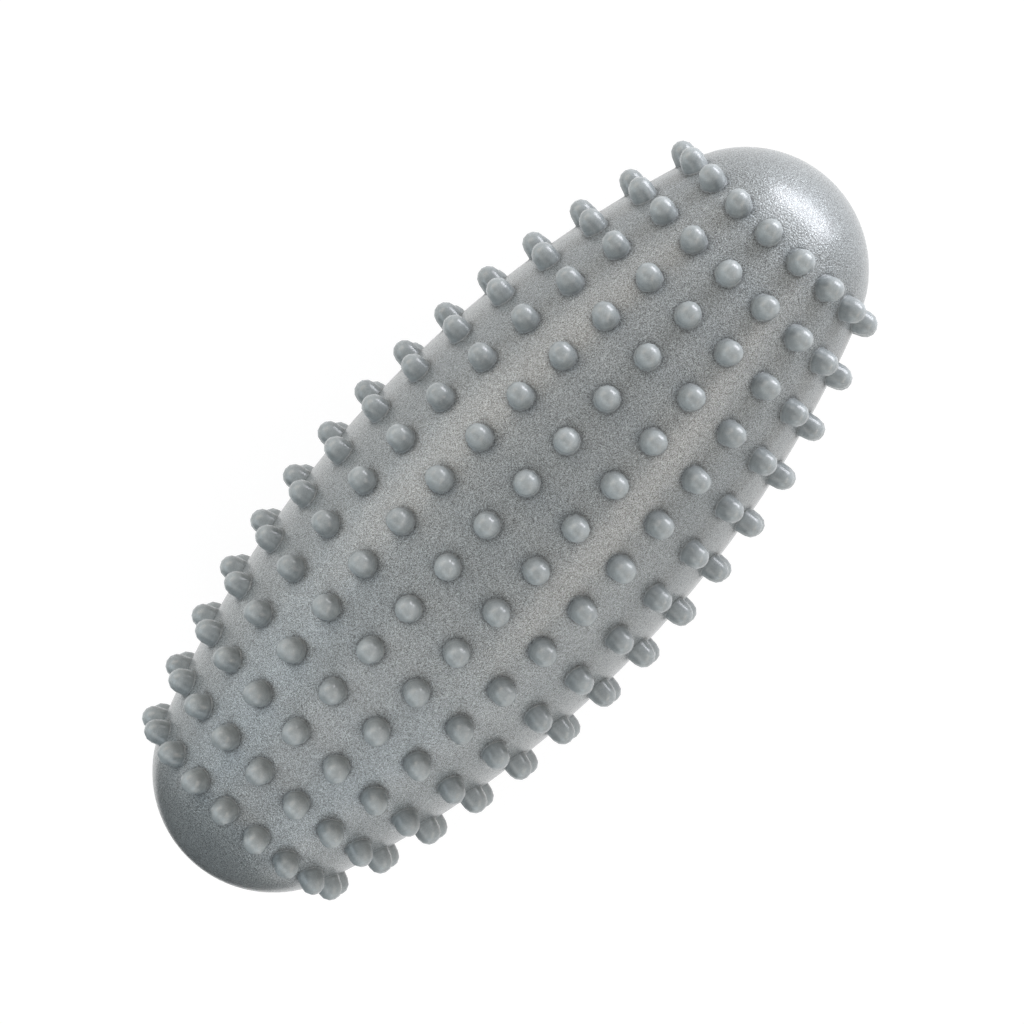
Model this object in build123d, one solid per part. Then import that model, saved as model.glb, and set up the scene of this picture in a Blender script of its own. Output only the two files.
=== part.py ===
from build123d import *
import math
import os

# Foot massage roller: a hollow soft vinyl barrel with rings of round-tipped nubs and an air valve in one end.
# Millimetres. +X runs along the roller's axis, away from the valve, and +Z is up. The origin is on the floor,
# under the middle of the roller, which lies on two rows of nubs.

# Barrel: one long arc along the side, tangent to a round dome at each end
body_length = 170.4
body_diameter = 66.8
dome_radius = 22.3
wall_thickness = 3.0

# Nubs: rings square to the axis, evenly spaced from one end ring to the other, each nub square to the skin
ring_count = 15
nubs_per_ring = 18
bare_dome_length = 15.2
nub_height = 4.0
nub_tip_diameter = 4.4
nub_draft = 0.15
# The nubs are moulded solid with the skin, and their roots end this far through its wall
nub_root_share = 0.5

# Valve core: a rubber plug that closes by itself behind the pump's needle, in a slit along its nose
needle_bore_diameter = 2.2
needle_mouth_flare = 0.6
needle_mouth_depth = 0.8
slit_length = 5.0
core_wall = 1.4
core_head_overhang = 1.2
core_head_thickness = 1.4
core_head_edge_radius = 0.3
core_bulb_overhang = 0.9
core_bulb_length = 4.0
core_nose_diameter = 3.6
core_recess = 0.2
core_gap = 0.05

# Valve housing: a flanged vinyl bush around the core, bonded into the shell with its flange on the air side
housing_rim = 1.2
housing_flange_overhang = 3.5
housing_flange_thickness = 2.0
housing_flange_chamfer = 0.3
housing_recess = 0.3
bond_gap = 0.05

# Valve boss: the thick spot of the shell around the housing, on the axis at the -X end
boss_wall = 5.0
boss_depth = 9.0
boss_lip_radius = 0.3

# How far a cut runs past the face that it opens
cut_overrun = 1.0

# Sizes of the barrel that follow from the ones above
half_length = body_length / 2
body_radius = body_diameter / 2
dome_centre = half_length - dome_radius
side_radius = dome_centre**2 / (2 * (body_radius - dome_radius)) + (body_radius + dome_radius) / 2
side_centre_drop = side_radius - body_radius
join_angle = math.atan2(dome_centre, side_centre_drop)

# Sizes of the nubs that follow
nub_tip_radius = nub_tip_diameter / 2
nub_base_radius = nub_tip_radius + nub_draft
ring_pitch = (body_length - 2 * bare_dome_length) / (ring_count - 1)
ring_stations = [(i - (ring_count - 1) / 2) * ring_pitch for i in range(ring_count)]
row_step = 360 / nubs_per_ring

# Diameters of the valve, each one around the last, and its faces along the axis
core_shank_diameter = needle_bore_diameter + 2 * core_wall
core_head_diameter = core_shank_diameter + 2 * core_head_overhang
core_bulb_diameter = core_shank_diameter + 2 * core_bulb_overhang
head_pocket_diameter = core_head_diameter + 2 * core_gap
housing_diameter = head_pocket_diameter + 2 * housing_rim
housing_flange_diameter = housing_diameter + 2 * housing_flange_overhang
boss_bore_diameter = housing_diameter + 2 * bond_gap
boss_diameter = boss_bore_diameter + 2 * boss_wall
boss_face = boss_depth - half_length
housing_face = housing_recess - dome_centre - math.sqrt(dome_radius**2 - (boss_bore_diameter / 2) ** 2)
housing_end = boss_face + housing_flange_thickness
core_face = housing_face + core_recess
core_seat = core_face + core_head_thickness
core_end = housing_end + core_bulb_length
needle_bore_end = core_end - slit_length


def skin_point(station):
    """Radius of the barrel at a station along the axis, and the lean of its skin there, in radians."""
    if abs(station) <= side_radius * math.sin(join_angle):
        lean = math.asin(station / side_radius)
        return side_radius * math.cos(lean) - side_centre_drop, lean
    lean = math.copysign(math.asin((abs(station) - dome_centre) / dome_radius), station)
    return dome_radius * math.cos(lean), lean


def resting_height():
    """Height of the axis above the floor when the two lowest rows of nubs stand on it."""
    heights = []
    for station in ring_stations:
        radius, lean = skin_point(station)
        tip_centre = radius + (nub_height - nub_tip_radius) * math.cos(lean)
        heights.append(tip_centre * math.cos(math.radians(row_step / 2)) + nub_tip_radius)
    return max(heights)


axis_height = resting_height()
axis_foot = Vector(0, 0, axis_height)


def dome_point(angle, inset=0):
    """A point on the outline of the bare dome, from its angle in radians: at a right angle it is the pole."""
    dome = dome_radius - inset
    return dome_centre + dome * math.sin(angle), dome * math.cos(angle)


def mirrored(point):
    """The same point of the outline at the valve end."""
    return -point[0], point[1]


def skin_outline(near_angle, inset=0):
    """The outline from an angle on the valve's dome, along the side, to the pole of the bare dome."""
    join = dome_point(join_angle, inset)
    near_shoulder = mirrored(dome_point((near_angle + join_angle) / 2, inset))
    far_shoulder = dome_point((join_angle + math.pi / 2) / 2, inset)
    return [
        ThreePointArc(mirrored(dome_point(near_angle, inset)), near_shoulder, mirrored(join)),
        ThreePointArc(mirrored(join), (0, body_radius - inset), join),
        ThreePointArc(join, far_shoulder, (half_length - inset, 0)),
    ]


def turned(outline):
    """The round solid that a closed outline of stations and radii makes about the roller's axis."""
    # The outline is turned from straight below the axis, so that the seam lies between two rows of nubs
    below_axis = Plane(origin=axis_foot, x_dir=(1, 0, 0), z_dir=(0, 1, 0))
    return revolve(below_axis * make_face(outline), axis=Axis(axis_foot, (1, 0, 0)))


def bored_barrel():
    """The barrel as a full round solid, with the valve's bore in one dome and a rounded lip at its mouth."""
    bore_radius = boss_bore_diameter / 2
    bore_end = boss_face + cut_overrun
    lip_angle = math.acos((bore_radius + boss_lip_radius) / (dome_radius - boss_lip_radius))
    lip_station, lip_height = mirrored(dome_point(lip_angle, boss_lip_radius))
    lip_middle = (
        lip_station - boss_lip_radius * math.cos(lip_angle / 2),
        lip_height - boss_lip_radius * math.sin(lip_angle / 2),
    )
    bore_mouth = (lip_station, bore_radius)
    bore = Polyline((half_length, 0), (bore_end, 0), (bore_end, bore_radius), bore_mouth)
    lip = ThreePointArc(bore_mouth, lip_middle, mirrored(dome_point(lip_angle)))
    return turned([bore, lip, *skin_outline(lip_angle)])


def air_barrel():
    """The space inside the wall, as it would be without the boss."""
    pole = half_length - wall_thickness
    return turned([*skin_outline(math.pi / 2, wall_thickness), Line((pole, 0), (-pole, 0))])


def on_axis(station):
    """The plane square to the roller's axis at a station, facing away from the valve end."""
    return Plane(origin=axis_foot + Vector(station, 0, 0), z_dir=(1, 0, 0))


def bar(start, end, diameter):
    """A round bar on the roller's axis between two stations."""
    return on_axis(start) * Solid.make_cylinder(diameter / 2, end - start)


def taper(start, end, start_diameter, end_diameter):
    """A round tapered bar on the roller's axis between two stations."""
    return on_axis(start) * Solid.make_cone(start_diameter / 2, end_diameter / 2, end - start)


def nub():
    """One nub that stands on the XY plane, with its root below it and its side tangent to its round tip."""
    tip_centre = nub_height - nub_tip_radius
    root_depth = wall_thickness * nub_root_share
    reach = math.hypot(nub_base_radius, tip_centre)
    side_angle = math.acos(nub_tip_radius / reach) - math.atan2(tip_centre, nub_base_radius)
    crown_angle = (side_angle + math.pi / 2) / 2
    shoulder, crown = [
        (nub_tip_radius * math.cos(angle), tip_centre + nub_tip_radius * math.sin(angle))
        for angle in (side_angle, crown_angle)
    ]
    foot = (nub_base_radius, 0)
    root = (nub_base_radius, -root_depth)
    side = Polyline((0, nub_height), (0, -root_depth), root, foot, shoulder)
    tip = ThreePointArc(shoulder, crown, (0, nub_height))
    return revolve(Plane.XZ * make_face([side, tip]), axis=Axis.Z)


def all_nubs():
    """The nubs in their rings, each one standing on the skin and square to it."""
    master = nub()
    nubs = []
    for station in ring_stations:
        radius, lean = skin_point(station)
        for row in range(nubs_per_ring):
            turn = math.radians((row + 0.5) * row_step)
            outward = Vector(0, math.sin(turn), -math.cos(turn))
            around = Vector(0, math.cos(turn), math.sin(turn))
            foot = axis_foot + Vector(station, 0, 0) + outward * radius
            normal = Vector(math.sin(lean), 0, 0) + outward * math.cos(lean)
            nubs.append(Plane(origin=foot, x_dir=around, z_dir=normal) * master)
    return nubs


def roller_shell():
    """The hollow vinyl moulding: barrel, nubs and valve boss in one."""
    air_space = air_barrel() - bar(-half_length, boss_face, boss_diameter)
    return bored_barrel() + all_nubs() - air_space


def valve_housing():
    """The flanged bush that is moulded into the boss and holds the core."""
    flange = bar(boss_face, housing_end, housing_flange_diameter)
    flange = chamfer(flange.edges().group_by(Axis.X)[-1], housing_flange_chamfer)
    bush = bar(housing_face, boss_face, housing_diameter) + flange
    bush -= bar(housing_face - cut_overrun, core_seat, head_pocket_diameter)
    return bush - bar(core_seat, housing_end + cut_overrun, core_shank_diameter + 2 * core_gap)


def valve_core():
    """The self-closing rubber plug, with the lead-in hole for the pump's needle."""
    head = bar(core_face, core_seat, core_head_diameter)
    head = fillet(head.edges().group_by(Axis.X)[0], core_head_edge_radius)
    shank = bar(core_seat, housing_end, core_shank_diameter)
    bulb = taper(housing_end, core_end, core_bulb_diameter, core_nose_diameter)
    mouth_diameter = needle_bore_diameter + 2 * needle_mouth_flare
    mouth = taper(core_face, core_face + needle_mouth_depth, mouth_diameter, needle_bore_diameter)
    return head + shank + bulb - bar(core_face, needle_bore_end, needle_bore_diameter) - mouth


os.makedirs("parts", exist_ok=True)
export_step(roller_shell(), "parts/roller_shell.step")
export_step(valve_housing(), "parts/valve_housing.step")
export_step(valve_core(), "parts/valve_core.step")
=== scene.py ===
"""The looks of a foot massage roller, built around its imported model.

The roller is a hollow barrel of soft pearl vinyl with rings of round-tipped nubs, and an air valve
in one dome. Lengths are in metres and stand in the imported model's frame: +X runs along the
roller's axis, away from the valve, +Z is up, and the origin is on the floor, under the middle of
the roller.
"""

import logging
import math
from dataclasses import dataclass
from enum import Enum

import bpy
from bpy.types import ID, Material, Mesh, NodeSocket, NodeTree, Object
from mathutils import Matrix, Vector


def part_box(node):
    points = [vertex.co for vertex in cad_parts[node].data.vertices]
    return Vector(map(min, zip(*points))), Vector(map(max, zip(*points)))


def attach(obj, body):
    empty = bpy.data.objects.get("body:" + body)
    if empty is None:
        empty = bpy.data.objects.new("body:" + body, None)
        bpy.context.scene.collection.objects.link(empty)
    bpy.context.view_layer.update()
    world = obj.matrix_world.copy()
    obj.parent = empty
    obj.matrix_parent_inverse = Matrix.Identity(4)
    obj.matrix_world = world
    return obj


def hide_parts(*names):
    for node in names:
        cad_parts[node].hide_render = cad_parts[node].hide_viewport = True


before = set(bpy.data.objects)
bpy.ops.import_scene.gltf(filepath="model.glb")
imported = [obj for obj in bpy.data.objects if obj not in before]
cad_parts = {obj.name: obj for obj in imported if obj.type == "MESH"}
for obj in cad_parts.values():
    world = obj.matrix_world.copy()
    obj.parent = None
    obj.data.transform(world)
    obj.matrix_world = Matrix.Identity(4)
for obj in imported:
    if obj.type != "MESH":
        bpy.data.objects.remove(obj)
log = logging.getLogger("roller")

Point = tuple[float, float]
Outline = list[Point]
Colour = tuple[float, float, float]
Loop = tuple[float, float, dict[str, float]]

WHITE = (1.0, 1.0, 1.0, 1.0)
SHARP_ANGLE = math.radians(50.0)


class Slot(Enum):
    """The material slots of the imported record."""

    SHELL = "shell"
    HOUSING = "housing"
    CORE = "core"


class Node(Enum):
    """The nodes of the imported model."""

    SHELL = "roller_shell"
    HOUSING = "valve_housing"
    CORE = "valve_core"


@dataclass(frozen=True)
class Term:
    """A number that a node tree works out, so that a formula reads as plain arithmetic."""

    tree: NodeTree
    socket: NodeSocket

    def step(self, operation: str, other: "Term | float | None" = None) -> "Term":
        """One Math node on this number.

        Args:
            operation: Blender's name of the operation.
            other: The second number, where the operation has one.

        Returns:
            The node's result.
        """
        node = self.tree.nodes.new("ShaderNodeMath")
        node.operation = operation
        self.tree.links.new(self.socket, node.inputs[0])
        if isinstance(other, Term):
            self.tree.links.new(other.socket, node.inputs[1])
        elif other is not None:
            node.inputs[1].default_value = other
        return Term(self.tree, node.outputs[0])

    def __add__(self, other: "Term | float") -> "Term":
        """The sum."""
        return self.step("ADD", other)

    def __sub__(self, other: "Term | float") -> "Term":
        """The difference."""
        return self.step("SUBTRACT", other)

    def __mul__(self, other: "Term | float") -> "Term":
        """The product."""
        return self.step("MULTIPLY", other)

    def __truediv__(self, other: "Term | float") -> "Term":
        """The quotient."""
        return self.step("DIVIDE", other)

    def __neg__(self) -> "Term":
        """The number with its sign turned."""
        return self.step("MULTIPLY", -1.0)

    def absolute(self) -> "Term":
        """The number without its sign."""
        return self.step("ABSOLUTE")

    def towards(self, other: "Term", share: "Term") -> "Term":
        """This number, moved towards another one by a share of the way."""
        return self + (other - self) * share


Value = Term | NodeSocket | float | int | str | bool | tuple | ID


@dataclass(frozen=True)
class Graph:
    """A node tree that is written as calls: each call adds one node and fills its sockets."""

    tree: NodeTree

    def add(
        self, kind: str, sockets: dict[str, Value] | None = None, **settings: str | bool
    ) -> bpy.types.Node:
        """Adds a node.

        Args:
            kind: Blender's name of the node's type.
            sockets: What goes into the named inputs: a number, a colour or another node's result.
            **settings: The node's own settings.

        Returns:
            The node.
        """
        node = self.tree.nodes.new(kind)
        for name, setting in settings.items():
            setattr(node, name, setting)
        for name, value in (sockets or {}).items():
            socket = next(s for s in node.inputs if s.name == name and s.enabled)
            if isinstance(value, Term):
                self.tree.links.new(value.socket, socket)
            elif isinstance(value, NodeSocket):
                self.tree.links.new(value, socket)
            else:
                socket.default_value = value
        return node

    def out(self, node: bpy.types.Node, name: str) -> NodeSocket:
        """A node's output, by its name."""
        return next(s for s in node.outputs if s.name == name and s.enabled)

    def made(
        self, name: str, kind: str, sockets: dict[str, Value], **settings: str | bool
    ) -> NodeSocket:
        """The named output of a new node."""
        return self.out(self.add(kind, sockets, **settings), name)

    def term(self, node: bpy.types.Node, name: str) -> Term:
        """A node's numeric output, by its name, ready for arithmetic."""
        return Term(self.tree, self.out(node, name))

    def mix(self, share: Value, low: Value, high: Value) -> NodeSocket:
        """The colour that lies a share of the way, from 0 to 1, from a first to a second one."""
        sockets = {"Factor": share, "A": opaque(low), "B": opaque(high)}
        return self.made("Result", "ShaderNodeMix", sockets, data_type="RGBA")

    def grey(self, tone: Term) -> NodeSocket:
        """The grey of a tone that the tree works out."""
        sockets = {"Red": tone, "Green": tone, "Blue": tone}
        return self.made("Color", "ShaderNodeCombineColor", sockets)

    def bump(self, height: Term, distance: float, strength: float) -> NodeSocket:
        """The normal of a relief from 0 to 1 that is so many metres deep."""
        sockets = {"Height": height, "Distance": distance, "Strength": strength}
        return self.made("Normal", "ShaderNodeBump", sockets)


def opaque(colour: Value) -> Value:
    """A plain colour with full alpha; anything else as it is."""
    return (*colour, 1.0) if isinstance(colour, tuple) and len(colour) == 3 else colour


def socket_named(
    tree: NodeTree, name: str, kind: str, default: Value | None = None, output: bool = False
) -> None:
    """Adds a named socket to a node group.

    Args:
        tree: The group.
        name: The socket's name.
        kind: Blender's name of the socket's type.
        default: The value it starts from, if any.
        output: Whether it is an output.
    """
    way = "OUTPUT" if output else "INPUT"
    socket = tree.interface.new_socket(name=name, in_out=way, socket_type=kind)
    if default is not None:
        socket.default_value = default


@dataclass(frozen=True)
class PearlGrain:
    """The shader group that all the materials share: flecks, glints, fine relief and clouds."""

    name: str = "moulded grain"
    fleck_size: float = 0.00025
    cloud_size: float = 0.012
    fleck_detail: float = 1.0
    fleck_breakup: float = 0.6
    flake_rate: float = 0.9
    flake_share: float = 0.45
    glint_power: float = 5.0
    pit_rate: float = 0.35
    cloud_detail: float = 2.0
    noise_low: float = 0.3
    noise_high: float = 0.7

    def group(self) -> NodeTree:
        """The group, made on its first use.

        Returns:
            The group. Its outputs run from 0 to 1.
        """
        if self.name in bpy.data.node_groups:
            return bpy.data.node_groups[self.name]
        tree = bpy.data.node_groups.new(self.name, "ShaderNodeTree")
        socket_named(tree, "Place", "NodeSocketVector")
        socket_named(tree, "Fleck size", "NodeSocketFloat", self.fleck_size)
        socket_named(tree, "Cloud size", "NodeSocketFloat", self.cloud_size)
        for name in ("Fleck", "Glint", "Relief", "Cloud"):
            socket_named(tree, name, "NodeSocketFloat", output=True)
        graph = Graph(tree)
        given = graph.add("NodeGroupInput")
        place = graph.out(given, "Place")
        fine = graph.term(given, "Fleck size").step("POWER", -1.0)
        wide = graph.term(given, "Cloud size").step("POWER", -1.0)
        fleck = {"Detail": self.fleck_detail, "Roughness": self.fleck_breakup}
        flecks = graph.made("Fac", "ShaderNodeTexNoise", {"Vector": place, "Scale": fine, **fleck})
        flake = {"Vector": place, "Scale": fine * self.flake_rate}
        flake_colour = graph.made("Color", "ShaderNodeTexVoronoi", flake)
        flake_tone = graph.add("ShaderNodeSeparateColor", {"Color": flake_colour})
        tone = graph.term(flake_tone, "Red")
        pit = {"Vector": place, "Scale": fine * self.pit_rate, "Detail": 0.0}
        pits = graph.made("Fac", "ShaderNodeTexNoise", pit)
        cloud = {"Vector": place, "Scale": wide, "Detail": self.cloud_detail}
        clouds = graph.made("Fac", "ShaderNodeTexNoise", cloud)
        even = self.stretched(graph, flecks) * (1.0 - self.flake_share)
        sockets = {
            "Fleck": even + tone * self.flake_share,
            "Glint": tone.step("POWER", self.glint_power),
            "Relief": pits,
            "Cloud": self.stretched(graph, clouds),
        }
        graph.add("NodeGroupOutput", sockets)
        return tree

    def stretched(self, graph: Graph, noise: NodeSocket) -> Term:
        """The middle range of a noise texture, stretched to run from 0 to 1."""
        sockets = {"Value": noise, "From Min": self.noise_low, "From Max": self.noise_high}
        return graph.term(graph.add("ShaderNodeMapRange", sockets), "Result")

    def place(self, graph: Graph, fleck: float, cloud: float) -> dict[str, Term]:
        """Puts the group into a material.

        Args:
            graph: The material's tree.
            fleck: The size of one fleck.
            cloud: The size of one soft cloud.

        Returns:
            The group's outputs by name.
        """
        node = graph.add("ShaderNodeGroup")
        node.node_tree = self.group()
        where = graph.add("ShaderNodeTexCoord")
        graph.tree.links.new(graph.out(where, "Object"), node.inputs["Place"])
        node.inputs["Fleck size"].default_value = fleck
        node.inputs["Cloud size"].default_value = cloud
        return {name: graph.term(node, name) for name in ("Fleck", "Glint", "Relief", "Cloud")}


GRAIN = PearlGrain()


def blank_material(name: str) -> tuple[Material, Graph]:
    """A new material with an empty tree.

    Args:
        name: The material's name.

    Returns:
        The material and its tree.
    """
    material = bpy.data.materials.new(name)
    material.use_nodes = True
    material.node_tree.nodes.clear()
    return material, Graph(material.node_tree)


@dataclass(frozen=True)
class PearlVinyl:
    """The shell's soft vinyl: pearl flecks in a silver grey skin, and smooth nubs with painted
    light on their tips and painted shade at their feet.
    """

    skin: Colour = (0.222, 0.244, 0.251)
    skin_pale: Colour = (0.248, 0.268, 0.272)
    nub_side: Colour = (0.279, 0.307, 0.316)
    # Painted light: the nubs' own grey is nub_side, and they are painted paler towards their tips,
    # where the light falls on them
    lit_nub_tip: Colour = (0.386, 0.424, 0.433)
    tip_start: float = -0.5
    tip_end: float = 0.6
    # Painted shade: the crease at each nub's foot is darkened towards this colour, standing in for
    # the contact shadow there
    crease: Colour = (0.070, 0.078, 0.082)
    painted_shade_share: float = 0.55
    crease_power: float = 6.0
    fleck_size: float = 0.00012
    cloud_size: float = 0.016
    contrast: float = 2.5
    nub_grain: float = 0.1
    swirl_size: float = 0.0016
    swirl_fleck: float = 0.0004
    swirl: float = 0.22
    variety: float = 0.08
    darkest: float = 0.05
    roughness: float = 0.42
    nub_roughness: float = 0.27
    crease_roughness: float = 0.3
    fleck_roughness: float = 0.12
    metal: float = 0.06
    glint: float = 0.6
    ior: float = 1.5
    coat: float = 0.85
    nub_coat: float = 0.3
    crease_coat_loss: float = 0.7
    coat_roughness: float = 0.25
    relief: float = 0.00012

    def material(self) -> Material:
        """The finished material.

        Returns:
            The material, which reads the marks that the shell's mesh carries.
        """
        material, graph = blank_material("pearl vinyl")
        grain = GRAIN.place(graph, self.fleck_size, self.cloud_size)
        nub = self.mark(graph, "nub")
        # The foot's mask paints shade into the crease's colour, and makes the crease rougher and
        # less coated
        foot = self.mark(graph, "crease").step("POWER", self.crease_power)
        skin = -nub + 1.0
        grain_share = skin * (1.0 - self.nub_grain) + self.nub_grain
        fleck = (grain["Fleck"] - 0.5) * grain_share
        tint = {
            "Factor": 1.0,
            "A": self.body(graph, nub, foot, grain["Cloud"]),
            "B": graph.grey(self.tone(graph, nub, fleck)),
        }
        multiplied = {"data_type": "RGBA", "blend_type": "MULTIPLY"}
        roughness = nub * (self.nub_roughness - self.roughness) + self.roughness
        coat = nub * (self.nub_coat - self.coat) + self.coat
        sockets = {
            "Base Color": graph.made("Result", "ShaderNodeMix", tint, **multiplied),
            "Roughness": roughness + foot * self.crease_roughness + fleck * self.fleck_roughness,
            "Metallic": (grain["Glint"] * self.glint + self.metal) * skin,
            "Normal": graph.bump(grain["Relief"] * grain_share, self.relief, 1.0),
            "IOR": self.ior,
            "Coat Weight": coat * (foot * -self.crease_coat_loss + 1.0),
            "Coat Roughness": self.coat_roughness,
        }
        shader = graph.made("BSDF", "ShaderNodeBsdfPrincipled", sockets)
        graph.add("ShaderNodeOutputMaterial", {"Surface": shader})
        return material

    def body(self, graph: Graph, nub: Term, foot: Term, cloud: Term) -> NodeSocket:
        """The colour before the grain is laid over it, with painted light on each nub's tip and
        painted shade at its foot.

        Args:
            graph: The material's tree.
            nub: 1 on a nub and 0 on the skin.
            foot: 1 in the crease at a nub's foot, where shade is painted into the colour.
            cloud: The soft clouds of the skin.

        Returns:
            The colour.
        """
        # Painted light: a nub's colour turns towards the paler tip colour near its top
        tip = self.mark(graph, "tip")
        fade = {"Value": tip, "From Min": self.tip_start, "From Max": self.tip_end}
        pale = graph.add("ShaderNodeMapRange", fade, interpolation_type="SMOOTHSTEP")
        body = graph.mix(nub, graph.mix(cloud, self.skin, self.skin_pale), self.nub_side)
        body = graph.mix(graph.term(pale, "Result") * nub, body, self.lit_nub_tip)
        # Painted shade in the crease at the nub's foot
        return graph.mix(foot * self.painted_shade_share, body, self.crease)

    def tone(self, graph: Graph, nub: Term, fleck: Term) -> Term:
        """How much lighter or darker than the body each point is.

        Args:
            graph: The material's tree.
            nub: 1 on a nub and 0 on the skin.
            fleck: The grain, above and below zero.

        Returns:
            The factor for the body's colour.
        """
        swirl = GRAIN.place(graph, self.swirl_fleck, self.swirl_size)["Cloud"]
        chance = self.mark(graph, "chance")
        uneven = (swirl - 0.5) * self.swirl + (chance - 0.5) * self.variety
        tone = (fleck * self.contrast + 1.0) * (uneven * nub + 1.0)
        return tone.step("MAXIMUM", self.darkest)

    def mark(self, graph: Graph, name: str) -> Term:
        """One of the marks that the shell's mesh carries."""
        return graph.term(graph.add("ShaderNodeAttribute", attribute_name=name), "Fac")


@dataclass(frozen=True)
class ValveFinish:
    """A plain moulded material of the valve, with dustier clouds and a fine matt grain."""

    name: str
    base: Colour
    dusty: Colour
    roughness: float
    cloud_dust: float = 0.6
    fleck_dust: float = 0.25
    cloud_roughness: float = 0.08
    fleck_roughness: float = 0.12
    fleck_size: float = 0.00012
    cloud_size: float = 0.0025
    relief: float = 0.00002
    relief_strength: float = 0.7
    ior: float = 1.5

    def material(self) -> Material:
        """The finished material.

        Returns:
            The material.
        """
        material, graph = blank_material(self.name)
        grain = GRAIN.place(graph, self.fleck_size, self.cloud_size)
        dust = grain["Cloud"] * self.cloud_dust + grain["Fleck"] * self.fleck_dust
        uneven = grain["Fleck"] * self.fleck_roughness + grain["Cloud"] * self.cloud_roughness
        middle = (self.fleck_roughness + self.cloud_roughness) / 2
        sockets = {
            "Base Color": graph.mix(dust, self.base, self.dusty),
            "Roughness": uneven + (self.roughness - middle),
            "Normal": graph.bump(grain["Relief"], self.relief, self.relief_strength),
            "IOR": self.ior,
        }
        shader = graph.made("BSDF", "ShaderNodeBsdfPrincipled", sockets)
        graph.add("ShaderNodeOutputMaterial", {"Surface": shader})
        return material


FIRM_VINYL = ValveFinish("firm grey vinyl", (0.112, 0.120, 0.123), (0.150, 0.158, 0.160), 0.5)
VALVE_RUBBER = ValveFinish("black valve rubber", (0.012, 0.012, 0.013), (0.034, 0.034, 0.035), 0.6)


def added(name: str, data: ID) -> Object:
    """Adds an object to the scene.

    Args:
        name: The object's name.
        data: Its mesh, light or camera.

    Returns:
        The object.
    """
    made = bpy.data.objects.new(name, data)
    bpy.context.scene.collection.objects.link(made)
    return made


def finished(mesh: Mesh, material: Material, node: Node) -> Object:
    """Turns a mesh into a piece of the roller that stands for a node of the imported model.

    Args:
        mesh: The piece's mesh, in place, which gives it its name.
        material: Its finish.
        node: The node that it stands for.

    Returns:
        The piece.
    """
    mesh.materials.clear()
    mesh.materials.append(material)
    piece = added(mesh.name, mesh)
    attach(piece, "root")
    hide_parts(node.value)
    return piece


def arc(centre: Point, radius: float, start: float, end: float, steps: int) -> Outline:
    """Points of an arc. In radians, 0 is straight out from the axis and pi / 2 towards +X."""
    angles = [start + (end - start) * i / steps for i in range(steps + 1)]
    return [(centre[0] + radius * math.sin(a), centre[1] + radius * math.cos(a)) for a in angles]


def softened(corners: list[tuple[float, float, float]], steps: int = 3) -> Outline:
    """An outline with rounded corners.

    Args:
        corners: Each corner's station, distance from the axis, and radius of rounding, or zero.
        steps: The number of runs in each rounding.

    Returns:
        The points of the outline.
    """
    points: Outline = []
    for i, (station, reach, rounding) in enumerate(corners):
        here = Vector((station, reach))
        if not rounding:
            points.append((station, reach))
            continue
        before = (Vector(corners[i - 1][:2]) - here).normalized()
        after = (Vector(corners[(i + 1) % len(corners)][:2]) - here).normalized()
        half = before.angle(after) / 2
        centre = here + (before + after).normalized() * rounding / math.sin(half)
        start = here + before * rounding / math.tan(half) - centre
        end = here + after * rounding / math.tan(half) - centre
        for k in range(steps + 1):
            points.append(tuple(centre + start.lerp(end, k / steps).normalized() * rounding))
    return points


@dataclass(frozen=True)
class Lathe:
    """Turns outlines about the roller's axis. A point within the pole's radius is on the axis."""

    axis_height: float
    steps: int
    pole: float = 1e-7

    def mesh(self, name: str, outlines: list[Outline], closed: bool = False) -> Mesh:
        """A mesh turned from one or more outlines.

        An outline runs so that its outer side is on its right, with +X ahead and the axis to its
        right.

        Args:
            name: The mesh's name.
            outlines: The outlines, as points of station and distance from the axis.
            closed: Whether each outline's end joins its start.

        Returns:
            The mesh, with its poles closed and its faces pointing outwards.
        """
        points: list[tuple[float, float, float]] = []
        faces: list[tuple[int, ...]] = []
        for outline in outlines:
            rings = []
            for station, reach in outline:
                start, count = len(points), self.steps if reach > self.pole else 1
                for j in range(count):
                    turn = 2 * math.pi * j / self.steps
                    height = self.axis_height - reach * math.cos(turn)
                    points.append((station, reach * math.sin(turn), height))
                rings.append([start + j % count for j in range(self.steps + 1)])
            following = rings[1:] + rings[:1] if closed else rings[1:]
            for near, far in zip(rings, following):
                for j in range(self.steps):
                    face = (near[j], far[j], far[j + 1], near[j + 1])
                    faces.append(tuple(dict.fromkeys(face)))
        mesh = bpy.data.meshes.new(name)
        mesh.from_pydata(points, [], faces)
        mesh.shade_smooth()
        mesh.set_sharp_from_angle(angle=SHARP_ANGLE)
        return mesh


@dataclass(frozen=True)
class Barrel:
    """The barrel's sizes: one long arc along the side, tangent to a round dome at each end."""

    axis_height: float
    length: float = 0.1704
    diameter: float = 0.0668
    dome_radius: float = 0.0223
    wall: float = 0.003
    side_runs: int = 24
    dome_runs: int = 12

    @property
    def dome_centre(self) -> float:
        """How far the middle of each dome is from the middle of the roller."""
        return self.length / 2 - self.dome_radius

    @property
    def side_radius(self) -> float:
        """Radius of the long side arc."""
        body, dome = self.diameter / 2, self.dome_radius
        return self.dome_centre**2 / (2 * (body - dome)) + (body + dome) / 2

    @property
    def side_drop(self) -> float:
        """How far the side arc's centre is beyond the axis."""
        return self.side_radius - self.diameter / 2

    @property
    def join(self) -> float:
        """The skin's lean where the side meets a dome, in radians."""
        return math.atan2(self.dome_centre, self.side_drop)

    def dome(self, end: int, first: float, last: float, inset: float = 0.0) -> Outline:
        """Points of a dome's outline between two leans, at the +X end for 1, the valve's for -1."""
        centre = (end * self.dome_centre, 0.0)
        return arc(centre, self.dome_radius - inset, end * first, end * last, self.dome_runs)

    def side(self, inset: float) -> Outline:
        """Points of the side's outline, from the valve end to the other."""
        centre, radius = (0.0, -self.side_drop), self.side_radius - inset
        return arc(centre, radius, -self.join, self.join, self.side_runs)


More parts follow.
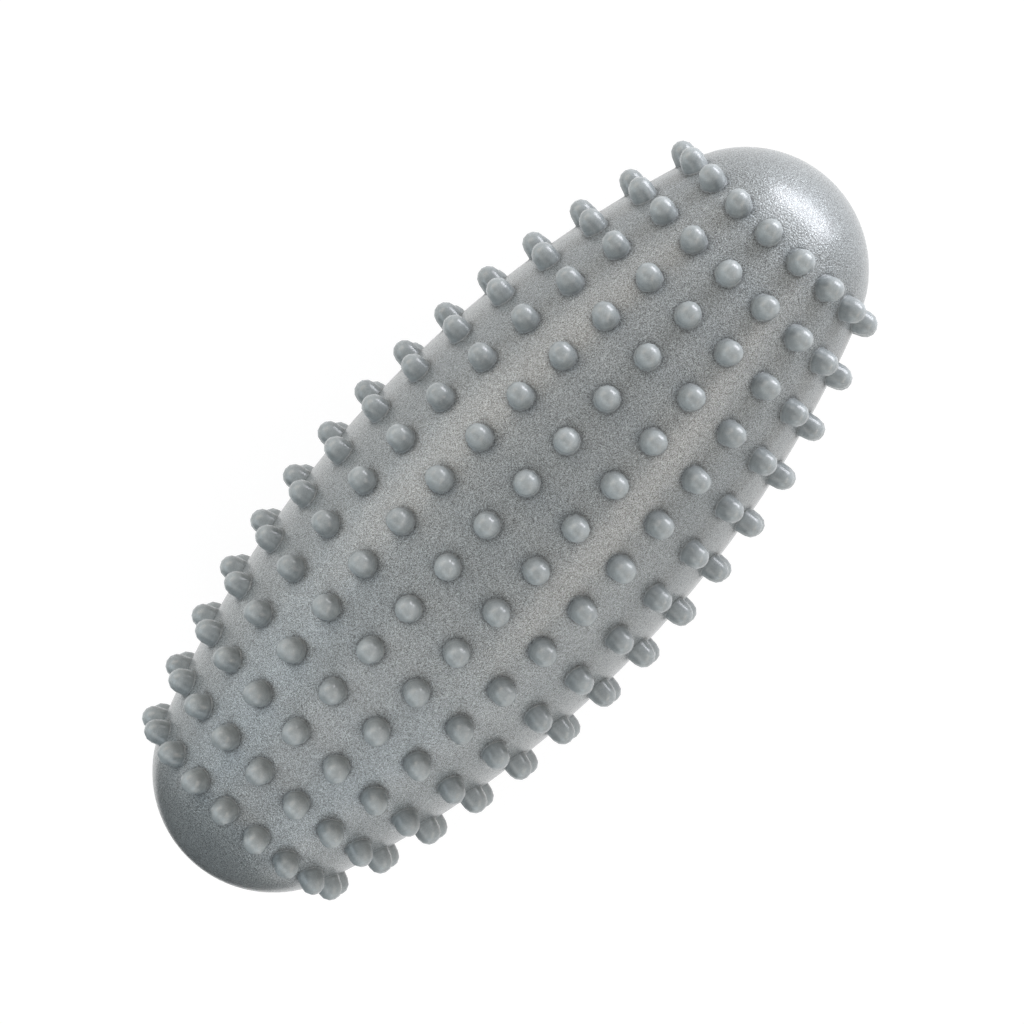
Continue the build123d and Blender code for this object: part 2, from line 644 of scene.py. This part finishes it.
@dataclass(frozen=True)
class AirValve:
    """The valve in the dome. Its sizes are worked out in this order: core, housing, then boss."""

    barrel: Barrel
    needle_bore: float = 0.0022
    mouth_flare: float = 0.0006
    mouth_depth: float = 0.0008
    slit: float = 0.005
    core_wall: float = 0.0014
    head_overhang: float = 0.0012
    head_thickness: float = 0.0014
    bulb_overhang: float = 0.0009
    bulb_length: float = 0.004
    nose: float = 0.0036
    core_recess: float = 0.0002
    core_gap: float = 0.00005
    rim: float = 0.0012
    flange_overhang: float = 0.0035
    flange_thickness: float = 0.002
    housing_recess: float = 0.0003
    bond_gap: float = 0.00005
    boss_wall: float = 0.005
    boss_depth: float = 0.009
    lip: float = 0.0003
    lip_runs: int = 4
    soft_edge: float = 0.0003
    fine_edge: float = 0.00015
    turns: int = 64

    @property
    def shank(self) -> float:
        """Radius of the core's shank."""
        return self.needle_bore / 2 + self.core_wall

    @property
    def head(self) -> float:
        """Radius of the core's head."""
        return self.shank + self.head_overhang

    @property
    def housing(self) -> float:
        """Radius of the housing's bush."""
        return self.head + self.core_gap + self.rim

    @property
    def bore(self) -> float:
        """Radius of the bore in the shell's boss."""
        return self.housing + self.bond_gap

    @property
    def boss(self) -> float:
        """Radius of the boss."""
        return self.bore + self.boss_wall

    @property
    def boss_face(self) -> float:
        """Station of the boss's inner face."""
        return self.boss_depth - self.barrel.length / 2

    @property
    def housing_face(self) -> float:
        """Station of the housing's outer face."""
        mouth = math.sqrt(self.barrel.dome_radius**2 - self.bore**2)
        return self.housing_recess - self.barrel.dome_centre - mouth

    @property
    def housing_end(self) -> float:
        """Station of the flange's inner face."""
        return self.boss_face + self.flange_thickness

    @property
    def lathe(self) -> Lathe:
        """The lathe that the valve's pieces are turned on."""
        return Lathe(self.barrel.axis_height, self.turns)

    def build_housing(self) -> Object:
        """The flanged bush that is moulded into the boss.

        Returns:
            The finished piece.
        """
        face, boss_face, end = self.housing_face, self.boss_face, self.housing_end
        seat = face + self.core_recess + self.head_thickness
        pocket, through = self.head + self.core_gap, self.shank + self.core_gap
        flange = self.housing + self.flange_overhang
        corners = [
            (end, through, self.fine_edge),
            (end, flange, self.soft_edge),
            (boss_face, flange, self.soft_edge),
            (boss_face, self.housing, 0.0),
            (face, self.housing, self.soft_edge),
            (face, pocket, self.fine_edge),
            (seat, pocket, 0.0),
            (seat, through, self.fine_edge),
        ]
        mesh = self.lathe.mesh("valve_housing_bush", [softened(corners)], closed=True)
        return finished(mesh, FIRM_VINYL.material(), Node.HOUSING)

    def build_core(self) -> Object:
        """The rubber plug with the lead-in hole for a pump's needle.

        Returns:
            The finished piece.
        """
        face = self.housing_face + self.core_recess
        seat = face + self.head_thickness
        end = self.housing_end + self.bulb_length
        bore = self.needle_bore / 2
        corners = [
            (end, 0.0, 0.0),
            (end, self.nose / 2, self.soft_edge),
            (self.housing_end, self.shank + self.bulb_overhang, self.fine_edge),
            (self.housing_end, self.shank, 0.0),
            (seat, self.shank, 0.0),
            (seat, self.head, self.fine_edge),
            (face, self.head, self.soft_edge),
            (face, bore + self.mouth_flare, self.fine_edge),
            (face + self.mouth_depth, bore, self.fine_edge),
            (end - self.slit, bore, self.fine_edge),
            (end - self.slit, 0.0, 0.0),
        ]
        mesh = self.lathe.mesh("valve_core_plug", [softened(corners)])
        return finished(mesh, VALVE_RUBBER.material(), Node.CORE)


@dataclass(frozen=True)
class NubField:
    """The rings of nubs and the skin between them, one square cell of skin to each nub."""

    barrel: Barrel
    rings: int = 15
    rows: int = 18
    bare_dome: float = 0.0152
    height: float = 0.004
    tip_radius: float = 0.0022
    draft: float = 0.00015
    root_round: float = 0.00018
    root_mark: float = 0.92
    sides: int = 12
    tip_runs: int = 3
    weld: float = 1e-5
    seed: int = 7

    @property
    def pitch(self) -> float:
        """The distance from ring to ring."""
        return (self.barrel.length - 2 * self.bare_dome) / (self.rings - 1)

    @property
    def reach(self) -> float:
        """Station of the field's edge, half a cell past the last ring."""
        return self.pitch * self.rings / 2

    @property
    def edge_runs(self) -> int:
        """The number of straight runs along each of a cell's four edges."""
        return self.sides // 4

    @property
    def turns(self) -> int:
        """The number of points around the barrel that the cells' edges have."""
        return self.rows * self.edge_runs

    def nub_loops(self) -> list[Loop]:
        """The rings of points around a nub, from its tip out to the end of its foot's rounding.

        Returns:
            Each ring's reach, height and marks.
        """
        foot = self.tip_radius + self.draft
        centre = self.height - self.tip_radius
        lean = math.acos(self.tip_radius / math.hypot(foot, centre)) - math.atan2(centre, foot)
        loops: list[Loop] = []
        for i in range(1, self.tip_runs + 1):
            angle = math.pi / 2 - (math.pi / 2 - lean) * i / self.tip_runs
            reach = self.tip_radius * math.cos(angle)
            height = centre + self.tip_radius * math.sin(angle)
            loops.append((reach, height, {"nub": 1.0, "tip": 1.0 - i / self.tip_runs}))
        root = foot - math.tan(lean) * self.root_round
        loops.append((root, self.root_round, {"nub": 1.0, "crease": self.root_mark}))
        loops.append((foot + self.root_round, 0.0, {"crease": 1.0}))
        return loops

    def cell(self) -> Object:
        """One nub with its square of skin, flat, before it is laid on the barrel.

        The mesh's own X runs around the barrel and its Y along the axis. "nub" marks the nub,
        "tip" its tip, and "crease" the rings at its foot, from which it fades to the cell's edge.
        Where "spread" is 1, a point is on that edge, and "across" and "along" give its place
        there, from -1 to 1.

        Returns:
            The cell, which isn't linked to the scene.
        """
        loops = self.nub_loops()
        points = [(0.0, 0.0, self.height)]
        marks: list[dict[str, float]] = [{"nub": 1.0, "tip": 1.0}]
        # A ring of straight sides is drawn a little wide, to be as wide as a round one on average
        widen = 1 / math.sqrt(math.cos(math.pi / self.sides))
        for reach, height, ring_marks in loops:
            for k in range(self.sides):
                angle = math.pi / 4 + 2 * math.pi * k / self.sides
                x, y = widen * reach * math.cos(angle), widen * reach * math.sin(angle)
                points.append((x, y, height))
                marks.append(ring_marks)
        for k in range(self.sides):
            quarter, run = divmod(k, self.edge_runs)
            shift = 1 - 2 * run / self.edge_runs
            edges = [(shift, 1.0), (-1.0, shift), (-shift, -1.0), (1.0, -shift)]
            across, along = edges[quarter]
            points.append((across * self.height, along * self.height, 0.0))
            marks.append({"spread": 1.0, "across": across, "along": along})
        faces: list[tuple[int, ...]] = []
        for k in range(self.sides):
            after = (k + 1) % self.sides
            faces.append((0, 1 + k, 1 + after))
            for loop in range(len(loops)):
                inner, outer = 1 + loop * self.sides, 1 + (loop + 1) * self.sides
                faces.append((inner + k, outer + k, outer + after, inner + after))
        mesh = bpy.data.meshes.new("nub cell")
        mesh.from_pydata(points, [], faces)
        for name in ("nub", "tip", "crease", "spread", "across", "along"):
            values = [point_marks.get(name, 0.0) for point_marks in marks]
            mesh.attributes.new(name, "FLOAT", "POINT").data.foreach_set("value", values)
        return bpy.data.objects.new("nub cell", mesh)

    def tree(self, inputs: dict[str, Value]) -> NodeTree:
        """The geometry tree that lays the cells on the barrel and joins them to its bare ends.

        Args:
            inputs: What goes into its named inputs.

        Returns:
            The tree, with the field's sizes as named inputs.
        """
        tree = bpy.data.node_groups.new("nub field", "GeometryNodeTree")
        socket_named(tree, "Geometry", "NodeSocketGeometry")
        kinds = {Object: "Object", Material: "Material", int: "Int", float: "Float"}
        for name, value in inputs.items():
            socket_named(tree, name, "NodeSocket" + kinds[type(value)])
        socket_named(tree, "Geometry", "NodeSocketGeometry", output=True)
        graph = Graph(tree)
        given = graph.add("NodeGroupInput")
        size = {s.name: Term(tree, s) for s in given.outputs}
        count = size["Rings"] * size["Nubs in a ring"]
        index = graph.term(graph.add("GeometryNodeInputIndex"), "Index")
        ring = ((index + 0.5) / size["Nubs in a ring"]).step("FLOOR")
        row = index - ring * size["Nubs in a ring"]
        chance = graph.add("FunctionNodeRandomValue", {"Seed": size["Seed"]}, data_type="FLOAT")
        shape = graph.made("Points", "GeometryNodePoints", {"Count": count})
        for name, value in {
            "station": (ring - (size["Rings"] - 1.0) / 2.0) * size["Ring pitch"],
            "turn": (row + 0.5) * (2 * math.pi) / size["Nubs in a ring"],
            "chance": graph.term(chance, "Value"),
        }.items():
            stored = {"Geometry": shape, "Name": name, "Value": value}
            kind = "GeometryNodeStoreNamedAttribute"
            shape = graph.made("Geometry", kind, stored, data_type="FLOAT", domain="POINT")
        cell = graph.made("Geometry", "GeometryNodeObjectInfo", {"Object": size["Cell"]})
        cells = {"Points": shape, "Instance": cell}
        shape = graph.made("Instances", "GeometryNodeInstanceOnPoints", cells)
        shape = self.realized(graph, shape)
        shape = self.laid(graph, shape, size)
        joined = graph.add("GeometryNodeJoinGeometry")
        for part in (shape, size["Geometry"].socket):
            tree.links.new(part, joined.inputs[0])
        whole = {"Geometry": graph.out(joined, "Geometry"), "Distance": self.weld}
        shape = graph.made("Geometry", "GeometryNodeMergeByDistance", whole)
        dressed = {"Geometry": self.realized(graph, shape), "Material": size["Finish"]}
        finish = graph.made("Geometry", "GeometryNodeSetMaterial", dressed)
        graph.add("NodeGroupOutput", {"Geometry": finish})
        return tree

    def realized(self, graph: Graph, shape: NodeSocket) -> NodeSocket:
        """The same shape with its instances made real."""
        return graph.made("Geometry", "GeometryNodeRealizeInstances", {"Geometry": shape})

    def laid(self, graph: Graph, shape: NodeSocket, size: dict[str, Term]) -> NodeSocket:
        """Moves the flat cells onto the barrel, each nub square to the skin at its own foot.

        Args:
            graph: The geometry tree.
            shape: The flat cells.
            size: The tree's named inputs.

        Returns:
            The cells in place.
        """

        def named(name: str) -> Term:
            """A named attribute of the cells."""
            node = graph.add("GeometryNodeInputNamedAttribute", {"Name": name}, data_type="FLOAT")
            return graph.term(node, "Attribute")

        here = graph.made("Position", "GeometryNodeInputPosition", {})
        where = graph.add("ShaderNodeSeparateXYZ", {"Vector": here})
        across, along, height = (graph.term(where, axis) for axis in "XYZ")
        station, turn, spread = named("station"), named("turn"), named("spread")
        side_radius, dome_radius = size["Side radius"], size["Dome radius"]
        foot_on_dome = station.absolute().step("GREATER_THAN", size["Join"])
        dome_reach = (station.absolute() - size["Dome centre"]) / dome_radius
        dome_sine = dome_reach * station.step("SIGN")
        lean_sine = (station / side_radius).towards(dome_sine, foot_on_dome)
        lean_cosine = (-(lean_sine * lean_sine) + 1.0).step("SQRT")
        edge_station = named("along") * size["Ring pitch"] * 0.5
        at = station + (along * lean_cosine).towards(edge_station, spread)
        off_centre = at.absolute() - size["Dome centre"]
        on_dome = (dome_radius * dome_radius - off_centre * off_centre).step("SQRT")
        on_side = (side_radius * side_radius - at * at).step("SQRT") - size["Side drop"]
        radius = on_side.towards(on_dome, at.absolute().step("GREATER_THAN", size["Join"]))
        edge_turn = named("across") * math.pi / size["Nubs in a ring"]
        angle = turn + (across / radius).towards(edge_turn, spread)
        rise = height * lean_cosine
        sockets = {
            "X": at + height * lean_sine,
            "Y": radius * angle.step("SINE") + rise * turn.step("SINE"),
            "Z": size["Axis height"] - radius * angle.step("COSINE") - rise * turn.step("COSINE"),
        }
        place = graph.made("Vector", "ShaderNodeCombineXYZ", sockets)
        moved = {"Geometry": shape, "Position": place}
        return graph.made("Geometry", "GeometryNodeSetPosition", moved)

    def inputs(self, cell: Object, finish: Material) -> dict[str, Value]:
        """What goes into the geometry tree's named inputs.

        Args:
            cell: The flat cell.
            finish: The shell's material.

        Returns:
            The values by the inputs' names.
        """
        barrel = self.barrel
        return {
            "Cell": cell,
            "Rings": self.rings,
            "Nubs in a ring": self.rows,
            "Ring pitch": self.pitch,
            "Side radius": barrel.side_radius,
            "Side drop": barrel.side_drop,
            "Dome radius": barrel.dome_radius,
            "Dome centre": barrel.dome_centre,
            "Join": barrel.side_radius * math.sin(barrel.join),
            "Axis height": barrel.axis_height,
            "Seed": self.seed,
            "Finish": finish,
        }


@dataclass(frozen=True)
class RollerShell:
    """The hollow vinyl moulding: barrel, nubs and valve boss in one."""

    barrel: Barrel
    nubs: NubField
    valve: AirValve
    least_mark: float = 0.5
    same_mark: float = 0.01

    def plain_parts(self) -> Mesh:
        """The shell without its nub field.

        Returns:
            Both bare dome ends, the valve's bore and boss, and the inner wall.
        """
        barrel, valve = self.barrel, self.valve
        edge = math.asin((self.nubs.reach - barrel.dome_centre) / barrel.dome_radius)
        lip_middle, lip_centre = valve.bore + valve.lip, barrel.dome_radius - valve.lip
        lip_lean = math.acos(lip_middle / lip_centre)
        lip_place = (-barrel.dome_centre - lip_centre * math.sin(lip_lean), lip_middle)
        inner = barrel.dome_radius - barrel.wall
        near_end = [
            *barrel.dome(-1, edge, lip_lean)[:-1],
            *arc(lip_place, valve.lip, -lip_lean, -math.pi, valve.lip_runs),
            (valve.boss_face, valve.bore),
            (valve.boss_face, valve.boss),
            *barrel.dome(-1, math.acos(valve.boss / inner), barrel.join, barrel.wall)[:-1],
            *barrel.side(barrel.wall)[:-1],
            *barrel.dome(1, barrel.join, math.pi / 2, barrel.wall),
        ]
        far_end = barrel.dome(1, math.pi / 2, edge)
        lathe = Lathe(barrel.axis_height, self.nubs.turns)
        return lathe.mesh("shell ends", [near_end, far_end])

    def build(self) -> Object:
        """The finished shell.

        Returns:
            The piece.
        """
        finish = PearlVinyl().material()
        base = added("shell ends", self.plain_parts())
        cell = self.nubs.cell()
        inputs = self.nubs.inputs(cell, finish)
        modifier = base.modifiers.new("nub field", "NODES")
        modifier.node_group = self.nubs.tree(inputs)
        items = modifier.node_group.interface.items_tree
        sockets = {s.name: s.identifier for s in items if s.in_out == "INPUT"}
        for name, value in inputs.items():
            modifier[sockets[name]] = value
        depsgraph = bpy.context.evaluated_depsgraph_get()
        mesh = bpy.data.meshes.new_from_object(
            base.evaluated_get(depsgraph), preserve_all_data_layers=True, depsgraph=depsgraph
        )
        mesh.name = "shell_moulding"
        base.modifiers.remove(modifier)
        bpy.data.objects.remove(base)
        bpy.data.objects.remove(cell)
        mesh.shade_smooth()
        mesh.set_sharp_from_angle(angle=SHARP_ANGLE)
        self.part_shading(mesh)
        return finished(mesh, finish, Node.SHELL)

    def part_shading(self, mesh: Mesh) -> None:
        """Parts the skin's shading from the nubs', along both edges of each foot's rounding.

        Args:
            mesh: The shell's mesh.
        """
        crease = mesh.attributes["crease"].data
        for edge in mesh.edges:
            low, high = sorted(crease[i].value for i in edge.vertices)
            if low > self.least_mark and high - low < self.same_mark:
                edge.use_edge_sharp = True


@dataclass(frozen=True)
class Lamp:
    """A softbox that stands around the roller and faces its middle. Its angles are in degrees."""

    name: str
    azimuth: float
    elevation: float
    distance: float
    width: float
    height: float
    radiance: float
    colour: Colour = (1.0, 1.0, 1.0)

    def build(self, target: Vector) -> None:
        """Sets the lamp up.

        Args:
            target: The point that it faces.
        """
        azimuth, elevation = math.radians(self.azimuth), math.radians(self.elevation)
        level, rise = math.cos(elevation), math.sin(elevation)
        towards = Vector((level * math.cos(azimuth), level * math.sin(azimuth), rise))
        light = bpy.data.lights.new(self.name, "AREA")
        light.shape = "RECTANGLE"
        light.size, light.size_y = self.width, self.height
        light.energy = self.radiance * math.pi * self.width * self.height
        light.color = self.colour
        lamp = added(self.name, light)
        facing = towards.to_track_quat("Z", "Y").to_matrix().to_4x4()
        lamp.matrix_world = Matrix.Translation(target + towards * self.distance) @ facing
        lamp.visible_camera = False


@dataclass(frozen=True)
class Camera:
    """The view from above.

    The bearing is the roller's axis in the picture, and tip and turn are how the roller stands
    towards the camera, all in degrees. The rest is in metres, and the lens and sensor in mm.
    """

    bearing: float = 46.72
    tip: float = 4.62
    turn: float = -6.01
    distance: float = 0.6389
    aside: float = -0.00076
    below: float = 0.00193
    lens: float = 123.1
    sensor: float = 36.0
    nearest: float = 0.01
    farthest: float = 20.0

    def place(self, middle: Vector) -> None:
        """Sets the camera up.

        Args:
            middle: The middle of the roller's axis.
        """
        bearing, tip, turn = (math.radians(angle) for angle in (self.bearing, self.tip, self.turn))
        level = math.cos(tip)
        # The model's axes as the camera sees them: to the right, down and away
        along = Vector((math.cos(bearing) * level, -math.sin(bearing) * level, -math.sin(tip)))
        aside = Vector((math.sin(bearing), math.cos(bearing), 0.0))
        facing = -along.cross(aside)
        up = math.cos(turn) * facing - math.sin(turn) * aside
        back = -math.sin(turn) * facing - math.cos(turn) * aside
        model = Matrix((along, back, up))
        offset = Vector((self.aside, self.below, self.distance))
        view = model @ Matrix.Diagonal((1.0, -1.0, -1.0))
        data = bpy.data.cameras.new("camera")
        data.lens, data.sensor_width = self.lens, self.sensor
        data.clip_start, data.clip_end = self.nearest, self.farthest
        camera = added("camera", data)
        camera.matrix_world = Matrix.Translation(middle - model @ offset) @ view.to_4x4()
        bpy.context.scene.camera = camera


@dataclass(frozen=True)
class Studio:
    """The white floor, the dark card, the surroundings and the lamps."""

    floor_reach: float = 0.44
    floor_sides: int = 96
    floor_tone: float = 0.89
    floor_cloud: float = 0.08
    floor_glow: float = 1.12
    shadow_share: float = 0.2
    card_tone: float = 0.03
    card_cloud: float = 0.05
    card_start: float = 0.105
    card_end: float = 0.50
    card_nose: float = 0.06
    card_spread: float = 0.30
    card_height: float = 0.28
    card_lift: float = 0.001
    cloth_fleck: float = 0.002
    cloth_uneven: float = 0.01
    surround: float = 0.2
    clean: Colour = (0.93, 0.94, 1.0)
    warm: Colour = (1.0, 0.88, 0.77)
    cool: Colour = (0.74, 0.89, 1.0)

    def lamps(self) -> list[Lamp]:
        """The lamps: a box past the bare end, warm strips along both sides, and weaker fills.

        Returns:
            The lamps, with their values in the order of Lamp's fields.
        """
        return [
            Lamp("end_box", 0.0, 8.0, 0.45, 0.36, 0.17, 9.0, self.clean),
            Lamp("upper_strip", 83.0, 26.0, 0.55, 0.55, 0.24, 2.16, self.warm),
            Lamp("lower_strip", -75.0, 44.0, 0.55, 0.55, 0.12, 3.0, self.warm),
            Lamp("upper_rim", 112.0, 9.0, 0.55, 0.55, 0.14, 1.1, self.cool),
            Lamp("lower_rim", -114.0, 14.0, 0.55, 0.55, 0.24, 0.98),
            Lamp("upper_back", 135.0, 30.0, 0.50, 0.30, 0.20, 1.63, self.cool),
            Lamp("lower_back", -135.0, 30.0, 0.50, 0.30, 0.20, 1.26, self.cool),
            Lamp("valve_top", 180.0, 55.0, 0.50, 0.30, 0.24, 1.5),
        ]

    def seen_white(self, graph: Graph) -> Term:
        """Which rays show the surroundings, as the camera's and the mirrored ones do.

        Args:
            graph: The tree of the floor's material or of the world.

        Returns:
            1 for such a ray, and 0 for one that only carries light.
        """
        path = graph.add("ShaderNodeLightPath")
        seen = graph.term(path, "Is Camera Ray") + graph.term(path, "Is Glossy Ray")
        return (seen + graph.term(path, "Is Transmission Ray")).step("MINIMUM", 1.0)

    def cloth(self, graph: Graph, tone: float, cloud: float) -> NodeSocket:
        """A matt cloth whose grey varies a little in soft clouds.

        Args:
            graph: The material's tree.
            tone: The darkest tone.
            cloud: The size of one cloud.

        Returns:
            The cloth's shader.
        """
        clouds = GRAIN.place(graph, self.cloth_fleck, cloud)["Cloud"]
        colour = graph.grey(clouds * self.cloth_uneven + tone)
        return graph.made("BSDF", "ShaderNodeBsdfDiffuse", {"Color": colour})

    def build_floor(self) -> None:
        """A round white floor that reaches to the lamps and keeps a faint shadow."""
        material, graph = blank_material("white floor")
        glow = {"Color": WHITE, "Strength": self.floor_glow}
        white = graph.made("Emission", "ShaderNodeEmission", glow)
        share = self.seen_white(graph) * (1.0 - self.shadow_share)
        mixed = graph.add("ShaderNodeMixShader", {"Fac": share})
        graph.tree.links.new(self.cloth(graph, self.floor_tone, self.floor_cloud), mixed.inputs[1])
        graph.tree.links.new(white, mixed.inputs[2])
        graph.add("ShaderNodeOutputMaterial", {"Surface": graph.out(mixed, "Shader")})
        turns = [2 * math.pi * k / self.floor_sides for k in range(self.floor_sides)]
        reach = self.floor_reach
        rim = [(reach * math.cos(turn), reach * math.sin(turn), 0.0) for turn in turns]
        mesh = bpy.data.meshes.new("floor")
        mesh.from_pydata(rim, [], [tuple(range(self.floor_sides))])
        mesh.materials.append(material)
        floor = added("floor", mesh)

    def build_card(self) -> None:
        """A dark card past the valve's end, which darkens that dome as only mirrored rays see it.

        It lies flat on the floor, widens away from the roller, and stands up at its far edge.
        """
        material, graph = blank_material("dark card")
        felt = self.cloth(graph, self.card_tone, self.card_cloud)
        graph.add("ShaderNodeOutputMaterial", {"Surface": felt})
        near, far, lift = -self.card_start, -self.card_end, self.card_lift
        nose, spread, top = self.card_nose, self.card_spread, self.card_height
        corners = [(near, y, lift) for y in (-nose, nose)]
        corners += [(far, y, z) for z in (lift, top) for y in (spread, -spread)]
        mesh = bpy.data.meshes.new("dark_card")
        mesh.from_pydata(corners, [], [(0, 1, 2, 3), (3, 2, 4, 5)])
        mesh.materials.append(material)
        card = added("dark_card", mesh)
        card.visible_camera = card.visible_diffuse = card.visible_shadow = False

    def build_surround(self) -> None:
        """Pale light from all round, which the camera sees as white."""
        world = bpy.data.worlds.new("surround")
        world.use_nodes = True
        world.node_tree.nodes.clear()
        graph = Graph(world.node_tree)
        strength = self.seen_white(graph) * (1.0 - self.surround) + self.surround
        glow = {"Color": WHITE, "Strength": strength}
        sky = graph.made("Background", "ShaderNodeBackground", glow)
        graph.add("ShaderNodeOutputWorld", {"Surface": sky})
        bpy.context.scene.world = world

    def build(self, middle: Vector) -> None:
        """Sets up the floor, the card, the surroundings, the lamps and the camera.

        Args:
            middle: The middle of the roller's axis.
        """
        self.build_floor()
        self.build_card()
        self.build_surround()
        for lamp in self.lamps():
            lamp.build(middle)
        Camera().place(middle)
        bpy.context.scene.view_settings.view_transform = "Standard"


def main() -> None:
    """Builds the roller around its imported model, and the studio around the roller."""
    logging.basicConfig(level=logging.INFO, format="%(message)s")
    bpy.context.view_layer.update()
    low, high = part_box(Node.SHELL.value)
    barrel = Barrel(axis_height=(low.z + high.z) / 2)
    valve = AirValve(barrel)
    pieces = [
        RollerShell(barrel, NubField(barrel), valve).build(),
        valve.build_housing(),
        valve.build_core(),
    ]
    for piece in pieces:
        log.info("%s is in place, with %d faces", piece.name, len(piece.data.polygons))
    Studio().build(Vector((0.0, 0.0, barrel.axis_height)))


if __name__ == "__main__":
    main()
